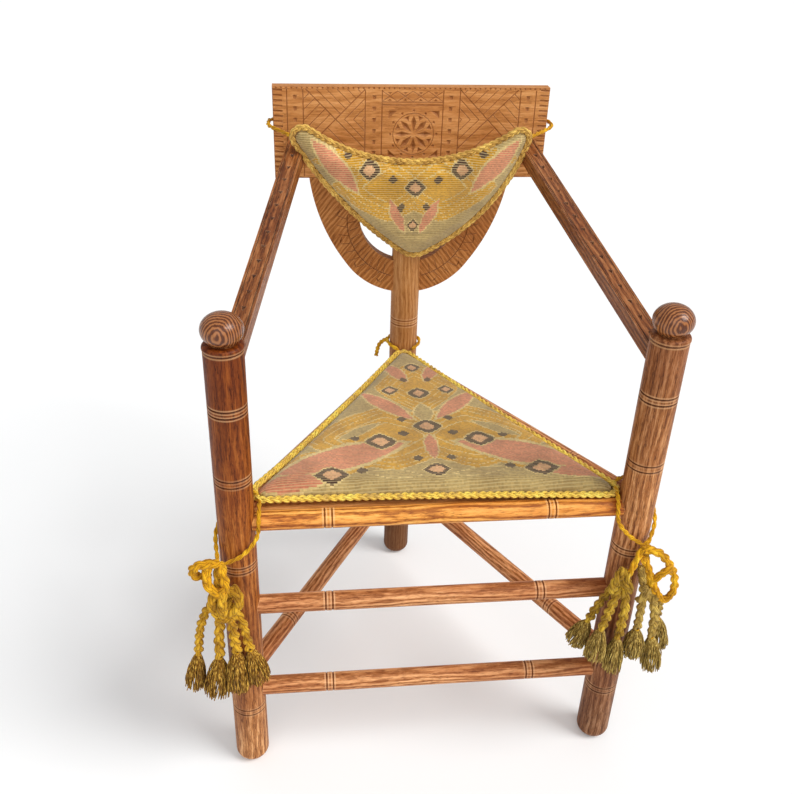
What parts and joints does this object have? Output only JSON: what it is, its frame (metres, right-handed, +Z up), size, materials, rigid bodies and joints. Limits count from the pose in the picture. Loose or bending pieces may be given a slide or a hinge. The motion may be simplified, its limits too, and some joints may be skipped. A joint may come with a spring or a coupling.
{
  "type": "corner chair",
  "caption": "Triangular turned corner chair with carved crest board, sloping arms, and padded seat and back cushions tied on with tasselled cords.",
  "frame": {"origin": "on the floor, under the middle of the wooden frame's box", "axes": "+Z up, -Y the way the sitter faces, +X to the sitter's left"},
  "size_m": [0.7307, 0.578, 0.9352],
  "materials": {
    "front_post_oak": "waxed, fine dark pores",
    "finial_oak": "polished, ring grain",
    "board_oak": "waxed, chip carved",
    "pale_rail_oak": "satin, strong grain",
    "arm_oak": "polished, chip carved",
    "seat_board_oak": "plain",
    "rail_oak": "satin",
    "needlework": "ribbed needlework in sage, ochre and rose",
    "plaited_edging": "plaited wool",
    "tie_cord": "plaited and twisted wool",
    "tassel_wool": "loose wool threads"
  },
  "bodies": {
    "root": {"back_cushion": "needlework", "back_cushion_edging": "plaited_edging", "back_tie": "tie_cord", "crest_board": "board_oak", "front_left_post": "front_post_oak", "front_right_post": "front_post_oak", "front_seat_rail": "pale_rail_oak", "left_arm": "arm_oak", "left_back_tie": "tie_cord", "left_bow_loop": "tie_cord", "left_brace": "board_oak", "left_drop_1": "tie_cord", "left_drop_2": "tie_cord", "left_drop_3": "tie_cord", "left_drop_4": "tie_cord", "left_finial": "finial_oak", "left_front_tie": "tie_cord", "left_knot": "tie_cord", "left_lower_knot": "tie_cord", "left_seat_rail": "rail_oak", "left_side_stretcher": "rail_oak", "left_strand": "tie_cord", "left_tassel_1": "tassel_wool", "left_tassel_2": "tassel_wool", "left_tassel_3": "tassel_wool", "left_tassel_4": "tassel_wool", "lower_front_stretcher": "rail_oak", "rear_post": "board_oak", "rear_tie": "tie_cord", "rear_tie_tail": "tie_cord", "right_arm": "arm_oak", "right_back_tie": "tie_cord", "right_bow_loop": "tie_cord", "right_brace": "board_oak", "right_drop_1": "tie_cord", "right_drop_2": "tie_cord", "right_drop_3": "tie_cord", "right_drop_4": "tie_cord", "right_drop_5": "tie_cord", "right_drop_6": "tie_cord", "right_finial": "finial_oak", "right_front_tie": "tie_cord", "right_knot": "tie_cord", "right_lower_knot": "tie_cord", "right_seat_rail": "rail_oak", "right_side_knot": "tie_cord", "right_side_strand": "tie_cord", "right_side_stretcher": "rail_oak", "right_strand": "tie_cord", "right_tassel_1": "tassel_wool", "right_tassel_2": "tassel_wool", "right_tassel_3": "tassel_wool", "right_tassel_4": "tassel_wool", "right_tassel_5": "tassel_wool", "right_tassel_6": "tassel_wool", "seat_board": "seat_board_oak", "seat_cushion": "needlework", "seat_cushion_edging": "plaited_edging", "upper_front_stretcher": "rail_oak"}
  },
  "joints": []
}
